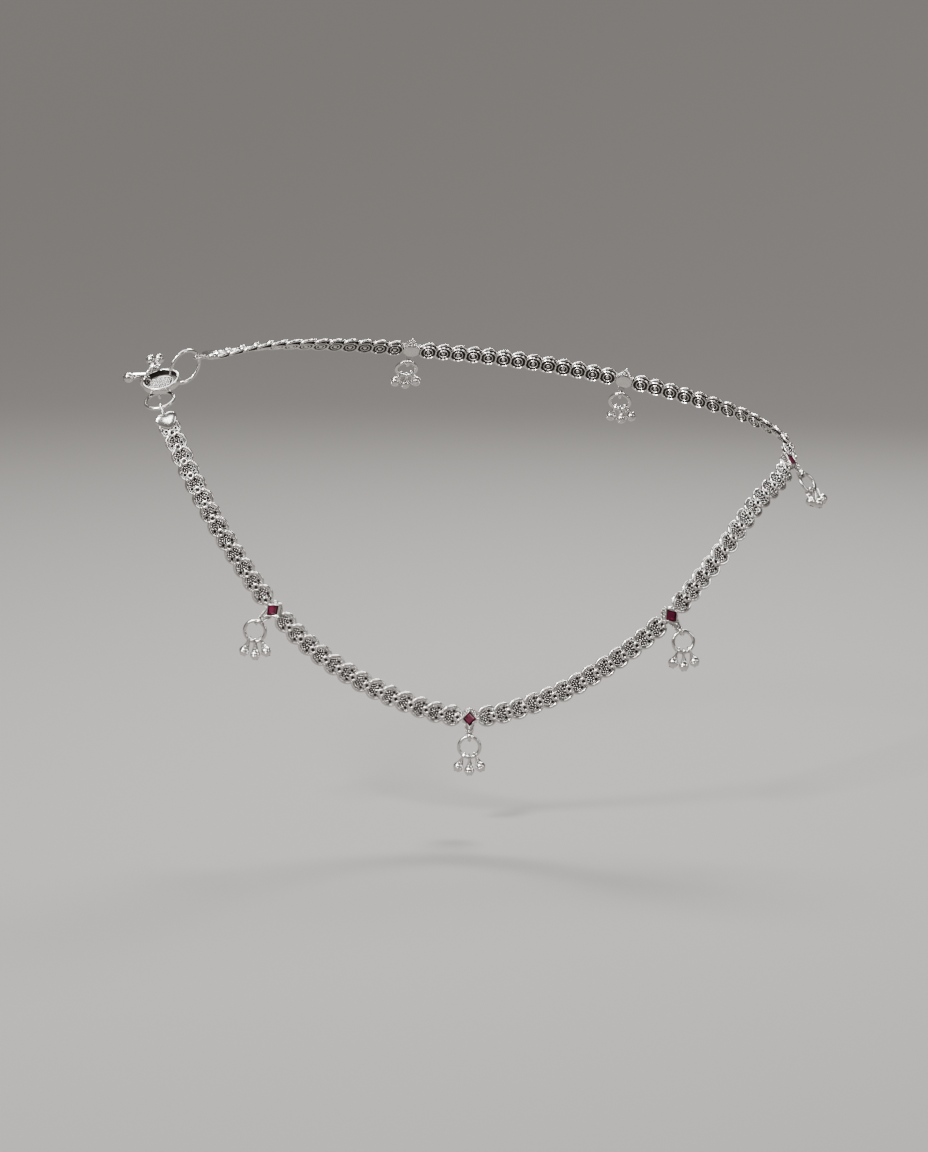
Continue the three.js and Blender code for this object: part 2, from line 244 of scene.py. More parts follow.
def arc(radius, start, end, steps, middle=(0, 0), height=(0, 0)):
    angles = np.radians(np.linspace(start, end, steps))
    z = np.linspace(height[0], height[1], steps)
    x = middle[0] + radius * np.cos(angles)
    return np.stack([x, middle[1] + radius * np.sin(angles), z], 1)


def circle(radius, steps, radiusY=None):
    angles = np.arange(steps) * 2 * math.pi / steps
    y = (radius if radiusY is None else radiusY) * np.sin(angles)
    return np.stack([radius * np.cos(angles), y, np.zeros(steps)], 1)


def ring(radius, thick, steps=32, sides=10):
    return wire(circle(radius, steps), thick, sides=sides, closed=True)


# A solid of revolution about z through (radius, height) pairs, closed on the axis.
def revolved(profile, sides):
    angles = np.arange(sides) * 2 * math.pi / sides
    rings = [np.stack([r * np.cos(angles), r * np.sin(angles), np.full(sides, z)], 1)
             for r, z in profile[1:-1]]
    return skin(rings, [(0, 0, profile[0][1]), (0, 0, profile[-1][1])])


def ball(radius, segments=10, rows=6):
    angles = np.linspace(-math.pi / 2, math.pi / 2, rows + 1)
    return revolved([(radius * math.cos(a), radius * math.sin(a)) for a in angles], segments)


# A plate over a closed outline, with a bevelled edge and a top that may be domed.
def plate(outline, low, high, bevel=0.0, dome=0.0):
    outline = np.asarray(outline, float)
    middle = outline.mean(0)
    reach = outline - middle
    size = np.linalg.norm(reach, axis=1).mean()
    rings = []
    for shrink, z in ((bevel, low), (0, low + bevel), (0, high - bevel), (bevel, high)):
        rings.append(np.column_stack([middle + reach * (1 - shrink / size), np.full(len(reach), z)]))
    for share in (0.75, 0.5, 0.25) if dome else ():
        z = high + dome * (1 - share**2)
        rings.append(np.column_stack([middle + reach * share, np.full(len(reach), z)]))
    return skin(rings, [(*middle, low), (*middle, high + dome)])


# A smooth curve through the points, with perSpan steps from each to the next.
def smooth(points, perSpan, closed=False):
    points = np.asarray(points, float)
    if closed:
        padded = np.concatenate([points[-1:], points, points[:2]])
    else:
        padded = np.concatenate([2 * points[:1] - points[1:2], points, 2 * points[-1:] - points[-2:-1]])
    found = []
    for i in range(1, len(padded) - 2):
        p0, p1, p2, p3 = padded[i - 1:i + 3]
        for share in np.arange(perSpan) / perSpan:
            found.append(0.5 * (2 * p1 + (p2 - p0) * share + (2 * p0 - 5 * p1 + 4 * p2 - p3) * share**2
                                + (3 * p1 - p0 - 3 * p2 + p3) * share**3))
    if not closed:
        found.append(points[-1])
    return np.array(found)


def meshOf(name, shape, sharpAngle):
    mesh = bpy.data.meshes.new(name)
    mesh.vertices.add(len(shape.points))
    mesh.vertices.foreach_set("co", (shape.points * mm).astype(np.float32).ravel())
    count = len(shape.triangles)
    mesh.loops.add(count * 3)
    mesh.loops.foreach_set("vertex_index", shape.triangles.astype(np.int32).ravel())
    mesh.polygons.add(count)
    mesh.polygons.foreach_set("loop_start", np.arange(0, count * 3, 3, dtype=np.int32))
    mesh.update(calc_edges=True)
    relief = mesh.attributes.new("relief", "FLOAT", "POINT")
    relief.data.foreach_set("value", shape.relief.astype(np.float32))
    mesh.shade_smooth()
    mesh.set_sharp_from_angle(angle=math.radians(sharpAngle))
    mesh.validate()
    return mesh


# A piece that shows in place of a CAD node. Its edges are sharp past sharpAngle degrees.
def addPiece(name, shape, material, cadNode, sharpAngle=50):
    mesh = meshOf(name, shape, sharpAngle)
    mesh.materials.append(material)
    piece = bpy.data.objects.new(name, mesh)
    bpy.context.scene.collection.objects.link(piece)
    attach(piece, "root")
    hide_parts(cadNode)


# One link's heights are above the middle of its disc, and its turns are in degrees. Arcs of
# granules are each a radius, a spread and a count, about the rosette of the link before.
chain = {
    "dropCount": 6,
    "linksPerStretch": 13,
    "settingShare": 3.3,
    "discRadius": 1.58,
    "rimTurns": (150, 38),
    "rimSteps": 14,
    "rimWire": 0.22,
    "rimDepth": 1.1,
    "rimRise": 0.12,
    "rimSwell": 0.25,
    "swellFrom": 0.25,
    "innerRadius": 1.2,
    "innerTurns": (146, 42),
    "innerSteps": 12,
    "innerWire": 0.1,
    "innerRise": 0.05,
    # Painted shade: the inner wires, granules and eyes get lower relief, so they are painted darker than
    # the rims and rosettes that catch the light.
    "innerRelief": 0.5,
    "lean": 0.18,
    "granule": 0.17,
    "granuleRelief": 0.5,
    "granuleHeight": 0.14,
    "bandArcs": [(1.02, 44, 5), (1.38, 42, 6), (1.74, 30, 5)],
    "startArcs": [(0.68, 52, 4), (0.36, 66, 3)],
    "sideGranules": [(1.0, 0.98), (0.72, 1.12), (-0.3, 1.08), (-0.62, 1.0)],
    "sideHeight": 0.04,
    "bed": [(-0.95, -0.95), (-0.1, -0.95), (0.1, -0.6), (1.3, -0.6), (1.3, 0.6), (0.1, 0.6),
            (-0.1, 0.95), (-0.95, 0.95)],
    # The beds between the granules are painted nearly black, partly as oxide and partly as painted shade.
    "bedRelief": 0.08,
    "startBed": [(-1.42, -0.55), (-0.9, -0.95), (-0.9, 0.95), (-1.42, 0.55)],
    "startRelief": 0.3,
    "bedLow": -0.25,
    "bedHigh": 0.02,
    "bedBevel": 0.03,
    "eyeAhead": 0.3,
    "eyeAside": 0.86,
    "eyeHeight": 0.06,
    "eyeRadius": 0.31,
    "eyeWire": 0.1,
    "eyeRelief": 0.55,
    "rosetteAhead": 1.0,
    "rosetteRadius": 0.48,
    "rosetteWire": 0.24,
    "rosetteHeight": 0.5,
    "pitFloor": -0.2,
    "pitRadius": 0.5,
    "pitMouth": 0.46,
    "pitDepth": 0.15,
    "petal": 0.15,
    "petalOut": 0.74,
    "petalDrop": 0.3,
    "petalTurn": 45,
    "backDisc": [(0, -0.42), (1.35, -0.42), (1.58, -0.32), (1.45, -0.22), (0, -0.22)],
    "backHeight": -0.42,
    "backRings": [(1.38, 0.13, 24), (0.75, 0.1, 18)],  # radius, wire and steps
    "rivet": 0.34,
    "rivetFlat": 0.5,
}
stretchCount = chain["dropCount"] + 1
linkPitch = routeLength - chain["dropCount"] * chain["settingShare"]
linkPitch /= stretchCount * chain["linksPerStretch"]
stretchLength = chain["linksPerStretch"] * linkPitch


# One link of the chain, its middle at the origin and its rosette ahead along x.
def linkShape():
    return joined([*rimShapes(), *bandShapes(), *rosetteShapes(), *backShapes()])


# Two rims with a fine second wire inside each; they start above the link before and end below.
def rimShapes():
    lean, steps = chain["lean"], chain["rimSteps"]
    path = arc(chain["discRadius"], *chain["rimTurns"], steps, height=(lean + chain["rimRise"], -lean))
    swell = 1 + chain["rimSwell"] * np.sin(np.linspace(chain["swellFrom"], 1, steps) * math.pi)
    outer = wire(path, chain["rimWire"] * swell, chain["rimWire"] * chain["rimDepth"], sides=10)
    path = arc(chain["innerRadius"], *chain["innerTurns"], chain["innerSteps"],
               height=(lean + chain["innerRise"], -lean))
    inner = wire(path, chain["innerWire"]).shaded(chain["innerRelief"])
    return [half.at(scaled(1, side, 1)) for half in (outer, inner) for side in (1, -1)]


def granule():
    return ball(chain["granule"], segments=8, rows=5).shaded(chain["granuleRelief"])


def granulesOn(arcs):
    behind = chain["rosetteAhead"] - linkPitch
    grain = granule()
    grains = []
    for radius, spread, count in arcs:
        for degrees in np.linspace(-spread, spread, count):
            x = behind + radius * math.cos(math.radians(degrees))
            y = radius * math.sin(math.radians(degrees))
            grains.append(grain.at(moved(x, y, chain["granuleHeight"])))
    return grains


def bedShape(outline, relief):
    return plate(outline, chain["bedLow"], chain["bedHigh"], chain["bedBevel"]).shaded(relief)


# The granulated band from the rosette before to this one, between two open eyes.
def bandShapes():
    shapes = [*granulesOn(chain["bandArcs"]), bedShape(chain["bed"], chain["bedRelief"])]
    grain = granule()
    eye = ring(chain["eyeRadius"], chain["eyeWire"], steps=14, sides=6).shaded(chain["eyeRelief"])
    for side in (1, -1):
        shapes.append(eye.at(moved(chain["eyeAhead"], chain["eyeAside"] * side, chain["eyeHeight"])))
        for x, y in chain["sideGranules"]:
            shapes.append(grain.at(moved(x, y * side, chain["sideHeight"])))
    return shapes


# A domed ring with a pit, in a circle of petals, on top of the joint with the next link.
def rosetteShapes():
    height, floor = chain["rosetteHeight"], chain["pitFloor"]
    top = ring(chain["rosetteRadius"], chain["rosetteWire"], steps=20, sides=10)
    # The pit is painted black as the shade inside the hole.
    pit = revolved([(0, floor), (chain["pitRadius"], floor), (chain["pitMouth"], height),
                    (0, height - chain["pitDepth"])], 14).shaded(0.0)
    petal = ball(chain["petal"], segments=8, rows=5)
    petal = petal.at(moved(chain["petalOut"], 0, height - chain["petalDrop"]))
    petals = [petal.at(turned("z", turn)) for turn in range(0, 360, chain["petalTurn"])]
    middle = moved(chain["rosetteAhead"], 0)
    return [shape.at(middle) for shape in (top.at(moved(0, 0, height)), pit, *petals)]


# A disc under the link, painted black as shade so the openings in the link read dark, with two rings and a
# rivet on its back.
def backShapes():
    under = moved(0, 0, chain["backHeight"])
    rings = [ring(radius, thick, steps, sides=6).at(under) for radius, thick, steps in chain["backRings"]]
    rivet = ball(chain["rivet"], segments=12, rows=6).at(scaled(1, 1, chain["rivetFlat"])).at(under)
    return [revolved(chain["backDisc"], 24).shaded(0.0), *rings, rivet]


# No link lies over the back of a stretch's first link, so its granules go on to the setting.
def startShape():
    return joined([bedShape(chain["startBed"], chain["startRelief"]), *granulesOn(chain["startArcs"])])


def addChain():
    link = linkShape()
    first = joined([link, startShape()])
    shapes = [first] + [link] * (chain["linksPerStretch"] - 1)
    for number in range(1, stretchCount + 1):
        start = (number - 1) * (stretchLength + chain["settingShare"])
        links = [shape.at(chainFrame(start + (k + 0.5) * linkPitch)) for k, shape in enumerate(shapes)]
        addPiece(f"links_{number}", joined(links), castSilver, f"chain_{number}")
    print("chain made")


# A lozenge bezel on a round base. "outside" and "inside" are the wall's rings from the foot up
# and then down to the seat, as shares of the way to the rim.
setting = {
    "stoneHalfWide": 1.1,
    "stoneHalfTall": 1.3,
    "rimHalfWide": 1.5,
    "rimHalfTall": 1.7,
    "rimHeight": 0.95,
    "floor": -0.6,
    "seat": 0.35,
    "waist": 0.3,
    "edge": 0.15,
    "lip": 0.1,
    "outside": (0.86, 0.9, 0.97, 1, 0.97),
    "inside": (0.3, 0.0, 0.0),
    # Painted shade: the wall is painted darker towards its foot, under the rim.
    "shadeFrom": -0.6,
    "shadeTo": 0.1,
    "shadeLow": 0.25,
    "collarOut": (0.09, 0.1),
    "collarRise": 0.02,
    "collarWire": 0.1,
    "rimBead": 0.13,
    "beadsPerSide": 6,
    "beadsIn": (0.06, 0.07),
    "beadsDrop": 0.12,
    "claw": 0.24,
    "clawsIn": (0.05, 0.06),
    "clawsDrop": 0.02,
    "baseRadius": 1.42,
    "baseFoot": 0.2,
    "baseShoulder": 0.1,
    "baseHeights": (-0.62, -0.45, -0.25, -0.2),
    "baseRelief": 0.6,
    "baseBeadTurn": 20,
    "turns": [0, 0, -9, 0, 0, 0],
}


def lozenge(halfWide, halfTall, perSide=1):
    corners = np.array([(halfWide, 0), (0, halfTall), (-halfWide, 0), (0, -halfTall)], float)
    found = []
    for a, b in zip(corners, np.roll(corners, -1, 0)):
        found += [a + (b - a) * i / perSide for i in range(perSide)]
    return np.array(found)


def lozengeAt(halfWide, halfTall, height, perSide=1):
    flat = lozenge(halfWide, halfTall, perSide)
    return np.column_stack([flat, np.full(len(flat), height)])


def settingShape():
    return joined([wallShape(), *rimTrim(), *baseShapes(), *stemShapes()])


def wallShape():
    low, high = setting["floor"], setting["rimHeight"]
    wide, tall = setting["rimHalfWide"], setting["rimHalfTall"]
    innerWide, innerTall = setting["stoneHalfWide"], setting["stoneHalfTall"]
    up = (low, low + setting["edge"], setting["waist"], high - setting["edge"], high)
    down = (high, high - setting["lip"], setting["seat"])
    rings = [lozengeAt(wide * share, tall * share, z, 4) for share, z in zip(setting["outside"], up)]
    for share, z in zip(setting["inside"], down):
        a, b = innerWide + (wide - innerWide) * share, innerTall + (tall - innerTall) * share
        rings.append(lozengeAt(a, b, z, 4))
    wall = skin(rings, [(0, 0, low), (0, 0, setting["seat"])])
    # Painted shade, darker towards the foot of the wall.
    return wall.shadedByHeight(setting["shadeFrom"], setting["shadeTo"], setting["shadeLow"])


# A smooth collar round the stone, beads along the rim and the waist, and a claw at each corner.
def rimTrim():
    wide, tall, high = setting["rimHalfWide"], setting["rimHalfTall"], setting["rimHeight"]
    bead = ball(setting["rimBead"], segments=8, rows=5)
    claw = ball(setting["claw"], segments=10, rows=6)
    outWide, outTall = setting["collarOut"]
    collar = lozengeAt(setting["stoneHalfWide"] + outWide, setting["stoneHalfTall"] + outTall,
                       high + setting["collarRise"], 3)
    shapes = [wire(collar, setting["collarWire"], closed=True)]
    for shape, (inWide, inTall), height, perSide in (
            (bead, setting["beadsIn"], high - setting["beadsDrop"], setting["beadsPerSide"]),
            (claw, setting["clawsIn"], high - setting["clawsDrop"], 1),
            (bead, (0, 0), setting["waist"], setting["beadsPerSide"])):
        places = lozengeAt(wide - inWide, tall - inTall, height, perSide)
        shapes += [shape.at(moved(*place)) for place in places]
    return shapes


def baseShapes():
    radius, (low, edge, top, middle) = setting["baseRadius"], setting["baseHeights"]
    base = revolved([(0, low), (radius - setting["baseFoot"], low), (radius, edge),
                     (radius - setting["baseShoulder"], top), (0, middle)], 28)
    bead = ball(setting["rimBead"], segments=8, rows=5).at(moved(radius, 0, top))
    beads = [bead.at(turned("z", turn)) for turn in range(0, 360, setting["baseBeadTurn"])]
    # The base is painted a little darker, as shade under the setting.
    return [base.shaded(setting["baseRelief"]), *beads]


# A strap below the setting that narrows to an eye, with granules down its edges and its face.
stem = {
    "top": 1.3,
    "bottom": 2.8,
    "halfTop": 0.72,
    "halfBottom": 0.46,
    "strapOver": 0.3,
    "strapUnder": 0.1,
    "strapSteps": 8,
    "strapHeight": 0.15,
    "strapFall": 0.1,
    "strapShare": 0.9,
    "strapDeep": 0.2,
    "strapRelief": 0.4,
    "grain": 0.14,
    "edgeGrains": 9,
    "edgeDrop": 0.05,
    "edgeHeight": 0.25,
    "faceRows": 6,
    "faceAcross": (-0.22, 0.02, 0.26),
    "faceShift": 0.05,
    "faceNarrowing": 0.35,
    "faceGrainSize": 0.8,
    "faceHeight": 0.33,
    "eyeMiddle": 3.3,
    "eyeRadius": 0.68,
    "eyeWire": 0.2,
    "eyeBroad": 1.5,
    "knob": 0.22,
    "knobPlace": (0.55, 0.42),  # below the eye's middle, and in front of it
}


def stemShapes():
    top, length = stem["top"], stem["bottom"] - stem["top"]
    taper = stem["halfBottom"] - stem["halfTop"]
    y = np.linspace(-top + stem["strapOver"], -stem["bottom"] - stem["strapUnder"], stem["strapSteps"])
    share = np.clip((-y - top) / length, 0, 1)
    path = np.stack([np.zeros(len(y)), y, stem["strapHeight"] - stem["strapFall"] * share], 1)
    half = stem["halfTop"] + taper * share
    strap = wire(path, half * stem["strapShare"], stem["strapDeep"], sides=10, power=0.7)
    # The strap under the granules is painted darker, partly as oxide and partly as painted shade.
    shapes = [strap.shaded(stem["strapRelief"])]
    grain = ball(stem["grain"], segments=7, rows=5)
    for side in (1, -1):
        for along in np.arange(stem["edgeGrains"]) / (stem["edgeGrains"] - 1):
            x = side * (stem["halfTop"] + taper * along)
            shapes.append(grain.at(moved(x, -top - stem["edgeDrop"] - length * along, stem["edgeHeight"])))
    size = stem["faceGrainSize"]
    small = grain.at(scaled(size, size, size))
    for row in range(stem["faceRows"]):
        along = (row + 0.5) / stem["faceRows"]
        shift = stem["faceShift"] if row % 2 else -stem["faceShift"]
        for x in stem["faceAcross"]:
            x = (x + shift) * (1 - stem["faceNarrowing"] * along)
            shapes.append(small.at(moved(x, -top - length * along, stem["faceHeight"])))
    eye = ring(stem["eyeRadius"], stem["eyeWire"], steps=24, sides=10).at(scaled(1, 1, stem["eyeBroad"]))
    shapes.append(eye.at(turned("y", 90)).at(moved(0, -stem["eyeMiddle"], 0)))
    below, ahead = stem["knobPlace"]
    knob = ball(stem["knob"], segments=8, rows=6)
    shapes.append(knob.at(moved(0, -stem["eyeMiddle"] - below, ahead)))
    return shapes


# A step-cut lozenge. "steps" are each a share of its size and a height from the girdle.
stone = {
    "gap": 0.03,
    "girdle": 0.52,
    "top": 1.02,
    "tableShare": 0.6,
    "steps": [(0.35, -0.15), (1, 0), (0.98, 0.15), (0.8, 0.36)],
    "color": (0.04, 0.0006, 0.01, 1),
    "lightColor": (0.14, 0.003, 0.036, 1),
    "roughness": 0.04,
    "bending": 1.55,
    "cellScale": 1700,
    "lightFrom": 0.45,
}


def stoneShape():
    wide, tall = setting["stoneHalfWide"] - stone["gap"], setting["stoneHalfTall"] - stone["gap"]
    steps = [(size, stone["girdle"] + rise) for size, rise in stone["steps"]]
    steps.append((stone["tableShare"], stone["top"]))
    rings = [lozengeAt(wide * size, tall * size, z) for size, z in steps]
    return skin(rings, [(0, 0, steps[0][1]), (0, 0, stone["top"])])


# A small bell. "crown" is the near half of its bail from the waist to just before the top.
ghungroo = {
    "ballRadius": 0.86,
    "topWire": 0.2,
    "footWire": 0.15,
    "legSpread": 0.42,
    "legFoot": 0.82,
    "legHeights": (0.1, 0.26),
    "kneeShare": 0.6,
    "crown": [(-0.08, -0.55, 0.4), (-0.02, 0, 0.46), (0, 0.36, 0.3)],
    "crownTop": 0.46,
    "beltShare": 0.985,
    "beltWire": 0.05,
    "cap": 0.36,
    "capShare": 0.93,
    "capFlat": 0.5,
    "slotHalfLong": 0.35,
    "slotShare": 0.92,
    "slotWire": 0.09,
    "knot": 0.27,
    "knotTop": 0.72,
    "knotStep": 0.5,
    "knotReach": (2.25, 0.4),  # the reach that has one knot, and how much more each next one takes
}


# A bell hangs down its own -y from the wire at its origin; its two wires spread to its sides.
def ghungrooShape(reach):
    radius, spread = ghungroo["ballRadius"], ghungroo["legSpread"]
    foot = -reach + radius * ghungroo["legFoot"]
    footHeight, kneeHeight = ghungroo["legHeights"]
    knee = (foot + ghungroo["crown"][0][1]) / 2
    near = [(-spread, foot, footHeight), (-spread * ghungroo["kneeShare"], knee, kneeHeight),
            *ghungroo["crown"]]
    far = [(-x, y, -z) for x, y, z in reversed(near)]
    path = smooth([*near, (0, ghungroo["crownTop"], 0), *far], 3)
    share = np.clip(path[:, 1] / foot, 0, 1)
    thick = ghungroo["topWire"] + (ghungroo["footWire"] - ghungroo["topWire"]) * share
    bail = wire(path, thick, sides=7, axis=(1, 0, 0))
    middle = moved(0, -reach)
    body = ball(radius, segments=22, rows=14).at(turned("x", -90)).at(middle)
    belt = ring(radius * ghungroo["beltShare"], ghungroo["beltWire"], steps=24, sides=6)
    cap = ball(ghungroo["cap"], segments=12, rows=6).at(scaled(1, ghungroo["capFlat"], 1))
    cap = cap.at(moved(0, -reach + radius * ghungroo["capShare"]))
    # The slot is a black wire, painted shade for the dark opening into the bell.
    slotEnd, slotY = ghungroo["slotHalfLong"], -reach - radius * ghungroo["slotShare"]
    slot = wire([(-slotEnd, slotY, 0), (slotEnd, slotY, 0)], ghungroo["slotWire"], sides=6)
    oneKnot, perKnot = ghungroo["knotReach"]
    knot = ball(ghungroo["knot"], segments=8, rows=6)
    knots = [knot.at(moved(0, -ghungroo["knotTop"] - ghungroo["knotStep"] * k))
             for k in range(int((reach - oneKnot) / perKnot) + 1)]
    return joined([bail, body, belt.at(turned("x", 90)).at(middle), cap, slot.shaded(0.0), *knots])


# The jump ring in a setting's eye, and where round it each ghungroo hangs and how far down.
drop = {
    "ringRadius": 1.74,
    "ringWire": 0.31,
    "ringFollow": 0.55,
    "hangSlack": 0.05,
    "ghungroos": [(-34, 2.1), (0, 2.25), (34, 2.1)],
    "spread": 0.7,
}


def addDrop(number):
    frameHere = chainFrame(number * stretchLength + (number - 0.5) * chain["settingShare"])
    stemTurn = setting["turns"][number - 1]
    hanger = frameHere @ turned("z", stemTurn)
    bezel = settingShape().at(hanger)
    addPiece(f"setting_look_{number}", bezel, castSilver, f"setting_{number}", 40)
    addPiece(f"stone_look_{number}", stoneShape().at(hanger), rubyStone, f"stone_{number}", 5)
    plumb = math.degrees(math.atan2(-frameHere[2, 0], frameHere[2, 1]))
    follow = drop["ringFollow"]
    eye = hanger @ moved(0, -stem["eyeMiddle"]) @ turned("z", (plumb - stemTurn) * follow)
    hung = eye @ moved(0, -drop["ringRadius"] - drop["hangSlack"])
    hung = hung @ turned("z", (plumb - stemTurn) * (1 - follow))
    loop = ring(drop["ringRadius"], drop["ringWire"], steps=48, sides=12)
    addPiece(f"drop_ring_look_{number}", loop.at(hung), plainSilver, f"drop_ring_{number}")
    for index, (turn, reach) in enumerate(drop["ghungroos"]):
        x = drop["ringRadius"] * math.sin(math.radians(turn))
        y = -drop["ringRadius"] * math.cos(math.radians(turn))
        arm = hung @ moved(x, y) @ turned("z", turn * drop["spread"])
        name = f"ghungroo_{number}_{index + 1}"
        addPiece(f"{name}_look", ghungrooShape(reach).at(arm), plainSilver, name)


# A domed heart. Half of its outline, from the tip to the notch, is in shares of its size.
tag = {
    "halfWide": 1.85,
    "halfLong": 1.45,
    "halfThick": 0.35,
    "outline": [(1, 0), (0.62, 0.55), (0, 0.93), (-0.6, 0.97), (-0.96, 0.55), (-0.9, 0)],
    "top": 0.55,
    "bevel": 0.14,
    "dome": 0.2,
    "shadeFrom": 1.5,
    "shadeLow": 0.4,
    "pit": 0.08,
    "pitFlat": 0.6,
    "pitsAlong": (-0.8, -0.3, 0.2, 0.7),
    "pitsAside": 3,
    "pitStep": 0.42,
    "pitShare": 0.7,
    "loopReach": 3.4,
    "loopRoot": 0.6,
    "loopHalfWide": 0.72,
    "loopWire": 0.2,
}


# The heart's tip points along x, with a wire loop out behind it.
def tagShape(loopLiesFlat):
    tip, side, thick = tag["halfLong"], tag["halfWide"], tag["halfThick"]
    half = [(tip * x, side * y) for x, y in tag["outline"]]
    other = [(x, -y) for x, y in half[-2:0:-1]]
    face = plate(smooth(half + other, 4, True), -thick, tag["top"], tag["bevel"], tag["dome"])
    # Black dots stand for the punched pits, painted dark partly as oxide and partly as painted shade.
    pit = ball(tag["pit"], segments=8, rows=6).at(scaled(1, 1, tag["pitFlat"])).shaded(0.0)
    pits = []
    for x in tag["pitsAlong"]:
        for y in np.arange(-tag["pitsAside"], tag["pitsAside"] + 1) * tag["pitStep"]:
            if abs(y) < side * tag["pitShare"] * (1 - max(x, 0) / tip):
                reach = math.hypot(x / tip, y / side)
                pits.append(pit.at(moved(x, y, tag["top"] + tag["dome"] * (1 - reach**2))))
    loop = tagLoop()
    if not loopLiesFlat:
        loop = loop.at(turned("x", 90))
    # Painted shade: the heart is darker towards its underside.
    face = face.shadedByHeight(-thick * tag["shadeFrom"], 0, tag["shadeLow"])
    return joined([face, loop, *pits])


def tagLoop():
    root, half = tag["halfLong"] * tag["loopRoot"], tag["loopHalfWide"]
    far = tag["loopReach"] - tag["loopWire"]
    farEnd = arc(half, 270, 90, 12, middle=(-far + half, 0))
    nearEnd = arc(half, 90, -90, 12, middle=(-root - half, 0))
    return wire(np.concatenate([farEnd, nearEnd]), tag["loopWire"], sides=10, closed=True)


# An oval strip on edge, with a granulated oval plate in it, an eye below and a curl beside it.
hook = {
    "middle": (-52.9, -3.4, 25.9),
    "face": (-0.15, -0.53, 0.83),
    "along": (0.97, 0.08, 0.22),
    "halfLong": 3.15,
    "halfWide": 2.65,
    "wall": 0.45,
    "halfDeep": 0.6,
    "squareness": 0.45,
    "insideShare": 0.95,
    "insideRelief": 0.1,
    "plateMiddle": (-0.2, -0.65),
    "plateTurn": 10,
    "plateHalfLong": 2.2,
    "plateHalfWide": 1.65,
    "plateLow": -0.35,
    "plateHigh": 0.1,
    "plateBevel": 0.1,
    "plateDome": 0.15,
    "plateRelief": 0.2,
    "edgeIn": 0.05,
    "edgeWire": 0.1,
    "grain": 0.16,
    "grainStep": 0.36,
    "grainRowStep": 0.87,
    "grainShare": 0.88,
    "grainRows": 4,
    "grainColumns": 6,
    "eye": (-0.9, -1.2, -1.3),
    "eyeRadius": 0.86,
    "eyeWire": 0.22,
    "curl": (-2.5, 0.9),
    "curlRadius": 1.05,
    "curlWire": 0.22,
    "curlHalfDeep": 0.5,
    "curlSquareness": 0.6,
    "grip": (1.8, 0.75, 0),
}


def hookShape():
    long, wide = hook["halfLong"], hook["halfWide"]
    half = hook["wall"] / 2
    strip = wire(circle(long - half, 72, wide - half), half, hook["halfDeep"], sides=14, closed=True,
                 power=hook["squareness"])
    # The inner side of the strip is painted dark, partly as oxide and partly as painted shade in the gap.
    reach = np.hypot(strip.points[:, 0] / (long - half), strip.points[:, 1] / (wide - half))
    strip = strip.shaded(np.where(reach < hook["insideShare"], hook["insideRelief"], 1.0))
    edgeLong, edgeWide = hook["plateHalfLong"] - hook["edgeIn"], hook["plateHalfWide"] - hook["edgeIn"]
    edge = wire(circle(edgeLong, 40, edgeWide), hook["edgeWire"], sides=6, closed=True)
    edge = edge.at(plateFrame() @ moved(0, 0, hook["plateHigh"]))
    eye = ring(hook["eyeRadius"], hook["eyeWire"], steps=28, sides=10).at(turned("y", 90))
    curl = wire(circle(hook["curlRadius"] - hook["curlWire"], 28), hook["curlWire"], hook["curlHalfDeep"],
                sides=12, closed=True, power=hook["curlSquareness"])
    curl = curl.at(moved(*hook["curl"]) @ turned("x", 90))
    return joined([strip, edge, eye.at(moved(*hook["eye"])), curl])


def plateFrame():
    return moved(*hook["plateMiddle"]) @ turned("z", hook["plateTurn"])


# The plate in the hook, with rows of granules over its dome.
def hookPlateShape():
    long, wide, high = hook["plateHalfLong"], hook["plateHalfWide"], hook["plateHigh"]
    oval = circle(long, 36, wide)[:, :2]
    face = plate(oval, hook["plateLow"], high, hook["plateBevel"], hook["plateDome"]).at(plateFrame())
    grain, step = ball(hook["grain"], segments=8, rows=6), hook["grainStep"]
    grains = []
    for row in range(-hook["grainRows"], hook["grainRows"] + 1):
        for column in range(-hook["grainColumns"], hook["grainColumns"] + 1):
            x, y = (column + 0.5 * (row % 2)) * step, row * step * hook["grainRowStep"]
            reach = math.hypot(x / long, y / wide)
            if reach < hook["grainShare"]:
                z = high + hook["plateDome"] * (1 - reach**2)
                grains.append(grain.at(plateFrame() @ moved(x, y, z)))
    # The plate between the granules is painted dark, partly as oxide and partly as painted shade.
    return joined([face.shaded(hook["plateRelief"]), *grains])


def addClasp():
    tags = {}
    for side, distance, turn, liesFlat in (("left", 0, 0, False), ("right", routeLength, 180, True)):
        place = chainFrame(distance) @ turned("z", turn)
        addPiece(f"tag_look_{side}", tagShape(liesFlat).at(place), plainSilver, f"end_tag_{side}")
        seat = tag["loopReach"] - tag["loopWire"] - tag["loopHalfWide"] + drop["hangSlack"]
        tags[side] = pointOf(place, (-seat, 0, 0))
    face, along = unit(hook["face"]), np.array(hook["along"])
    place = frameFrom(np.array(hook["middle"]), along, np.cross(face, along))
    addPiece("hook_look", hookShape().at(place), plainSilver, "clasp_hook")
    addPiece("hook_plate_look", hookPlateShape().at(place), castSilver, "clasp_hook")
    addRingBetween("clasp_ring", tags["left"], pointOf(place, hook["eye"]), along)
    addRingBetween("closing_ring", pointOf(place, hook["grip"]), tags["right"], face)
    addCharms(place)


claspRing = {"wire": 0.3}


def addRingBetween(name, start, end, across):
    place = frameFrom((start + end) / 2, across, end - start)
    loop = ring(np.linalg.norm(end - start) / 2, claspRing["wire"], steps=48, sides=12)
    addPiece(f"{name}_look", loop.at(place), plainSilver, name)


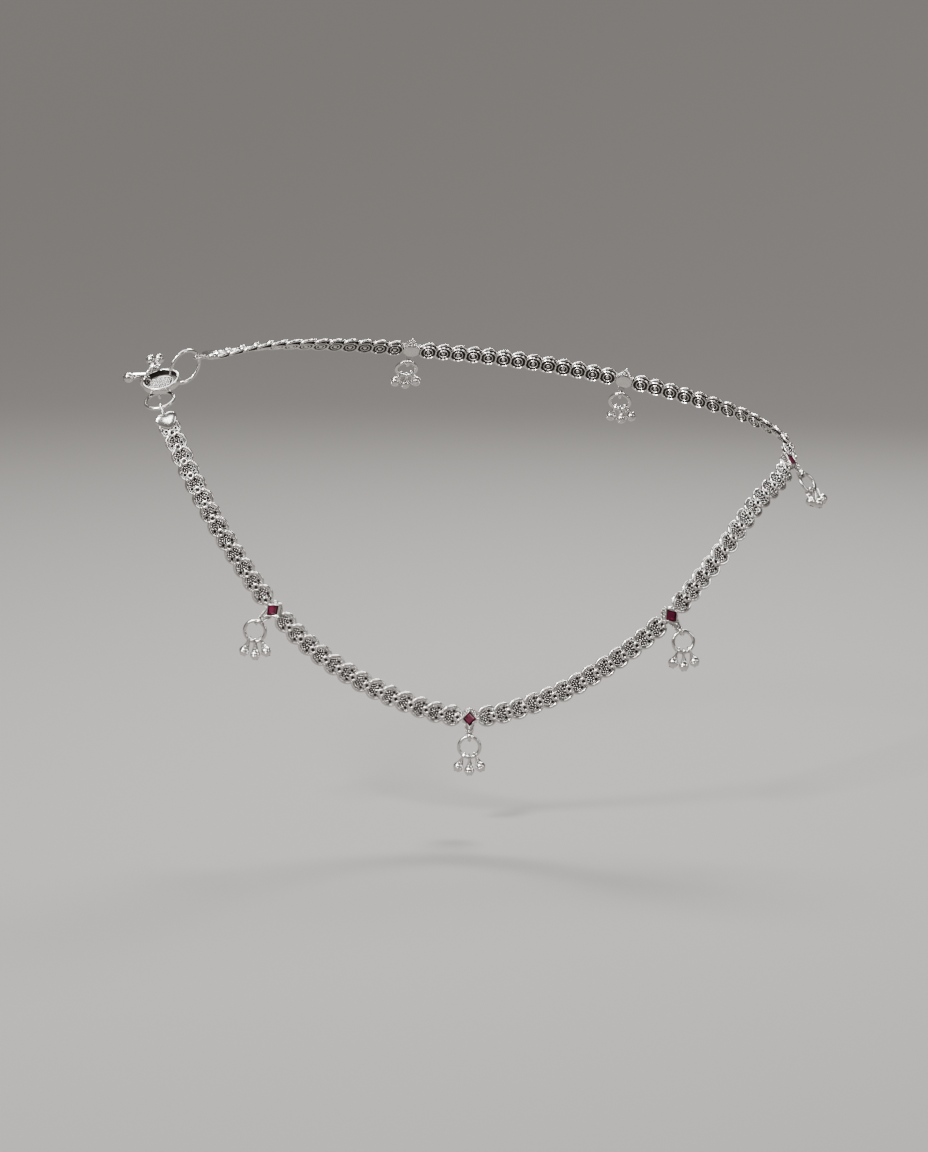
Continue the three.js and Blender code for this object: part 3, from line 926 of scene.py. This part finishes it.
# The small ring in the hook's curl, and where round it each ghungroo hangs and which way.
charmRing = {
    "middle": (-1.3, 1.96, 0),
    "radius": 1.6,
    "wire": 0.24,
    "turn": 41,
}
charms = [
    {"ringTurn": 130, "toward": (-1, 0.05, 0), "reach": 3.1},
    {"ringTurn": 75, "toward": (0, 1, 0), "reach": 2.1},
    {"ringTurn": 35, "toward": (0.2, 1, -0.2), "reach": 2.9},
]


def addCharms(hookFrame):
    place = hookFrame @ moved(*charmRing["middle"]) @ turned("x", 90) @ turned("y", charmRing["turn"])
    radius = charmRing["radius"]
    loop = ring(radius, charmRing["wire"], steps=40, sides=10)
    addPiece("charm_ring_look", loop.at(place), plainSilver, "charm_ring")
    for index, charm in enumerate(charms):
        c, s = math.cos(math.radians(charm["ringTurn"])), math.sin(math.radians(charm["ringTurn"]))
        origin = pointOf(place, (radius * c, radius * s, 0))
        away = -(hookFrame[:3, :3] @ np.array(charm["toward"]))
        tangent = place[:3, :3] @ np.array([-s, c, 0])
        name = f"clasp_ghungroo_{index + 1}"
        shape = ghungrooShape(charm["reach"]).at(frameFrom(origin, tangent, away))
        addPiece(f"{name}_look", shape, plainSilver, name)


def newGroup(name, inputs, outputs):
    group = bpy.data.node_groups.new(name, "ShaderNodeTree")
    for socket, kind, value in inputs:
        made = group.interface.new_socket(socket, in_out="INPUT", socket_type=kind)
        made.default_value = value
    for socket, kind in outputs:
        group.interface.new_socket(socket, in_out="OUTPUT", socket_type=kind)
    return group, group.nodes.new("NodeGroupInput"), group.nodes.new("NodeGroupOutput")


def mixOf(nodes, links, kind, factor, a, b):
    mix = nodes.new("ShaderNodeMix")
    mix.data_type = kind
    links.new(factor, mix.inputs["Factor"])
    firstIn, secondIn, result = {"RGBA": (6, 7, 2), "FLOAT": (2, 3, 0)}[kind]  # the node's sockets
    for place, value in ((firstIn, a), (secondIn, b)):
        if isinstance(value, bpy.types.NodeSocket):
            links.new(value, mix.inputs[place])
        else:
            mix.inputs[place].default_value = value
    return mix.outputs[result]


# Worn silver: bright where it is proud, dark in its recesses, partly with oxide and partly
# with painted shade. Scales are for each metre, and depths are in millimetres.
silver = {
    "bright": (0.62, 0.6, 0.585, 1),
    "dark": (0.028, 0.024, 0.022, 1),
    "roughBright": 0.17,
    "roughDark": 0.55,
    "oxideAndShadeFrom": 0.1,
    "oxideAndShadeTo": 0.65,
    "tarnish": 0.3,
    "tarnishScale": 900,
    "tarnishDetail": 3,
    "pitScale": 2300,
    "pitEdge": 0.35,
    "pitMiddle": 0.15,
    "pitDepth": 0.06,
    "grainScale": 2500,
    "grainDepth": 0.05,
    "cast": {"Stipple": 0.12, "Grain": 0.25},
    "plain": {"Stipple": 0.0, "Grain": 0.08},
}


def oxideAndShadeSilverGroup():
    group, given, made = newGroup("oxideAndShadeSilver", [
        ("Stipple", "NodeSocketFloat", 0.0),
        ("Grain", "NodeSocketFloat", 0.1),
    ], [("Color", "NodeSocketColor"), ("Roughness", "NodeSocketFloat"), ("Normal", "NodeSocketVector")])
    nodes, links = group.nodes, group.links
    relief = nodes.new("ShaderNodeAttribute")
    relief.attribute_name = "relief"
    place = nodes.new("ShaderNodeTexCoord")
    tarnish = nodes.new("ShaderNodeTexNoise")
    tarnish.inputs["Scale"].default_value = silver["tarnishScale"]
    tarnish.inputs["Detail"].default_value = silver["tarnishDetail"]
    links.new(place.outputs["Object"], tarnish.inputs["Vector"])
    shift = nodes.new("ShaderNodeMath")
    shift.operation = "MULTIPLY_ADD"
    links.new(tarnish.outputs["Fac"], shift.inputs[0])
    shift.inputs[1].default_value = silver["tarnish"]
    shift.inputs[2].default_value = -silver["tarnish"] / 2
    total = nodes.new("ShaderNodeMath")
    links.new(relief.outputs["Fac"], total.inputs[0])
    links.new(shift.outputs[0], total.inputs[1])
    pits = nodes.new("ShaderNodeTexVoronoi")
    pits.inputs["Scale"].default_value = silver["pitScale"]
    links.new(place.outputs["Object"], pits.inputs["Vector"])
    pit = nodes.new("ShaderNodeMapRange")
    pit.inputs["From Min"].default_value = silver["pitEdge"]
    pit.inputs["From Max"].default_value = silver["pitMiddle"]
    links.new(pits.outputs["Distance"], pit.inputs["Value"])
    loss = nodes.new("ShaderNodeMath")
    loss.operation = "MULTIPLY"
    links.new(pit.outputs[0], loss.inputs[0])
    links.new(given.outputs["Stipple"], loss.inputs[1])
    kept = nodes.new("ShaderNodeMath")
    kept.operation = "SUBTRACT"
    links.new(total.outputs[0], kept.inputs[0])
    links.new(loss.outputs[0], kept.inputs[1])
    # The mask paints the recesses dark: partly oxide, partly painted shade.
    mask = nodes.new("ShaderNodeMapRange")
    mask.interpolation_type = "SMOOTHSTEP"
    mask.inputs["From Min"].default_value = silver["oxideAndShadeFrom"]
    mask.inputs["From Max"].default_value = silver["oxideAndShadeTo"]
    links.new(kept.outputs[0], mask.inputs["Value"])
    color = mixOf(nodes, links, "RGBA", mask.outputs[0], silver["dark"], silver["bright"])
    rough = mixOf(nodes, links, "FLOAT", mask.outputs[0], silver["roughDark"], silver["roughBright"])
    grain = nodes.new("ShaderNodeTexNoise")
    grain.inputs["Scale"].default_value = silver["grainScale"]
    links.new(place.outputs["Object"], grain.inputs["Vector"])
    pitBump = nodes.new("ShaderNodeBump")
    pitBump.inputs["Distance"].default_value = silver["pitDepth"] * mm
    links.new(given.outputs["Stipple"], pitBump.inputs["Strength"])
    links.new(pits.outputs["Distance"], pitBump.inputs["Height"])
    grainBump = nodes.new("ShaderNodeBump")
    grainBump.inputs["Distance"].default_value = silver["grainDepth"] * mm
    links.new(given.outputs["Grain"], grainBump.inputs["Strength"])
    links.new(grain.outputs["Fac"], grainBump.inputs["Height"])
    links.new(pitBump.outputs["Normal"], grainBump.inputs["Normal"])
    links.new(color, made.inputs["Color"])
    links.new(rough, made.inputs["Roughness"])
    links.new(grainBump.outputs["Normal"], made.inputs["Normal"])
    return group


def newMaterial(name):
    material = bpy.data.materials.new(name)
    material.use_nodes = True
    return material, material.node_tree.nodes, material.node_tree.links


def silverMaterial(name, oxideAndShade, finish):
    material, nodes, links = newMaterial(name)
    shader = nodes["Principled BSDF"]
    shader.inputs["Metallic"].default_value = 1
    group = nodes.new("ShaderNodeGroup")
    group.node_tree = oxideAndShade
    for socket, value in finish.items():
        group.inputs[socket].default_value = value
    links.new(group.outputs["Color"], shader.inputs["Base Color"])
    links.new(group.outputs["Roughness"], shader.inputs["Roughness"])
    links.new(group.outputs["Normal"], shader.inputs["Normal"])
    return material


# A deep red whose cells are a little lighter here and there.
def rubyMaterial():
    material, nodes, links = newMaterial("rubyStone")
    shader = nodes["Principled BSDF"]
    shader.inputs["Roughness"].default_value = stone["roughness"]
    shader.inputs["IOR"].default_value = stone["bending"]
    place = nodes.new("ShaderNodeTexCoord")
    cells = nodes.new("ShaderNodeTexVoronoi")
    cells.inputs["Scale"].default_value = stone["cellScale"]
    links.new(place.outputs["Object"], cells.inputs["Vector"])
    spread = nodes.new("ShaderNodeMapRange")
    spread.inputs["From Min"].default_value = stone["lightFrom"]
    spread.inputs["From Max"].default_value = 1.0
    links.new(cells.outputs["Color"], spread.inputs["Value"])
    color = mixOf(nodes, links, "RGBA", spread.outputs[0], stone["color"], stone["lightColor"])
    links.new(color, shader.inputs["Base Color"])
    return material


# The backdrop is in millimetres; lamps are in metres, watts and degrees. The soft lamps light
# the pieces only, and not the backdrop.
studio = {
    "floorHeight": -46,
    "floorRadius": 600,
    "wallRadius": 1100,
    "wallHeight": 1500,
    "floorColor": (0.2, 0.19, 0.18, 1),
    "floorGlow": 0.85,  # lifts the far wall, which the lamps barely reach
    "floorRough": 0.8,
    "worldColor": (0.07, 0.07, 0.072, 1),
    "cameraTarget": (-2.5, -14, -5),
    "cameraDistance": 449,
    "cameraElevation": 12,
    "lens": 85,
    "sensor": 36,
    "nearestSeen": 0.01,
    "farthestSeen": 20,
}
lamps = [
    {"name": "key", "at": (-0.3, -0.3, 0.45), "size": (0.16, 0.16), "power": 1.5, "spread": 80},
    {"name": "back", "at": (0.12, 0.42, 0.42), "size": (0.3, 0.1), "power": 1.6, "spread": 90},
]
softLamps = [
    {"name": "softLeft", "at": (-0.35, -0.35, 0.25), "size": (0.16, 0.14), "power": 1.8, "spread": 180},
    {"name": "softTop", "at": (-0.12, 0.12, 0.5), "size": (0.35, 0.25), "power": 2.6, "spread": 180},
    {"name": "softFront", "at": (0.06, -0.45, 0.42), "size": (0.24, 0.16), "power": 1.6, "spread": 180},
    {"name": "softRight", "at": (0.5, -0.2, 0.2), "size": (0.12, 0.25), "power": 0.8, "spread": 180},
]


def floorMaterial():
    material = newMaterial("paleFloor")[0]
    shader = material.node_tree.nodes["Principled BSDF"]
    shader.inputs["Base Color"].default_value = studio["floorColor"]
    shader.inputs["Emission Color"].default_value = studio["floorColor"]
    shader.inputs["Emission Strength"].default_value = studio["floorGlow"]
    shader.inputs["Roughness"].default_value = studio["floorRough"]
    return material


# A round floor that curves up into a wall all round, as a studio's backdrop does.
def addFloor():
    low, inner, outer = studio["floorHeight"], studio["floorRadius"], studio["wallRadius"]
    bend = outer - inner
    profile = [(0, low), (inner * 0.5, low)]
    for degrees in range(0, 91, 10):
        turn = math.radians(degrees)
        profile.append((inner + bend * math.sin(turn), low + bend * (1 - math.cos(turn))))
    profile += [(outer, studio["wallHeight"]), (outer, studio["wallHeight"] + 1)]
    shape = revolved(profile, 96)
    keep = (shape.triangles < len(shape.points) - 1).all(1)  # leaves out the lid
    mesh = meshOf("floor", Shape(shape.points, shape.triangles[keep]), 80)
    mesh.materials.append(floorMaterial())
    floor = bpy.data.objects.new("floor", mesh)
    bpy.context.scene.collection.objects.link(floor)
    floor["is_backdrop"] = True


# A flat lamp that faces the middle of the anklet.
def addLamp(lamp):
    light = bpy.data.lights.new(lamp["name"], "AREA")
    light.shape = "RECTANGLE"
    light.size, light.size_y = lamp["size"]
    light.energy = lamp["power"]
    light.spread = math.radians(lamp["spread"])
    made = bpy.data.objects.new(lamp["name"], light)
    made.location = lamp["at"]
    made.rotation_euler = (-Vector(lamp["at"])).to_track_quat("-Z", "Y").to_euler()
    bpy.context.scene.collection.objects.link(made)
    return made


def addStudio():
    world = bpy.data.worlds.new("studio")
    bpy.context.scene.world = world
    world.use_nodes = True
    world.node_tree.nodes["Background"].inputs["Color"].default_value = studio["worldColor"]
    for lamp in lamps:
        addLamp(lamp)
    shinyPieces = bpy.data.collections.new("shinyPieces")
    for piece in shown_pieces():
        shinyPieces.objects.link(piece)
    for lamp in softLamps:
        addLamp(lamp).light_linking.receiver_collection = shinyPieces


def addCamera():
    camera = bpy.data.cameras.new("camera")
    camera.lens = studio["lens"]
    camera.sensor_width = studio["sensor"]
    camera.clip_start = studio["nearestSeen"]
    camera.clip_end = studio["farthestSeen"]
    elevation = math.radians(studio["cameraElevation"])
    ahead = Vector((0, math.cos(elevation), -math.sin(elevation)))
    eye = bpy.data.objects.new("camera", camera)
    eye.location = (Vector(studio["cameraTarget"]) - ahead * studio["cameraDistance"]) * mm
    eye.rotation_euler = ahead.to_track_quat("-Z", "Y").to_euler()
    bpy.context.scene.collection.objects.link(eye)
    bpy.context.scene.camera = eye


oxideAndShade = oxideAndShadeSilverGroup()
castSilver = silverMaterial("castSilver", oxideAndShade, silver["cast"])
plainSilver = silverMaterial("plainSilver", oxideAndShade, silver["plain"])
rubyStone = rubyMaterial()
print("materials made")
addChain()
for number in range(1, chain["dropCount"] + 1):
    addDrop(number)
print("drops made")
addClasp()
print("clasp made")
addFloor()
addStudio()
addCamera()
print("studio made")
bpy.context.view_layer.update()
total = sum(len(piece.data.polygons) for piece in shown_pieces() if piece.type == "MESH")
print("triangles shown", total)
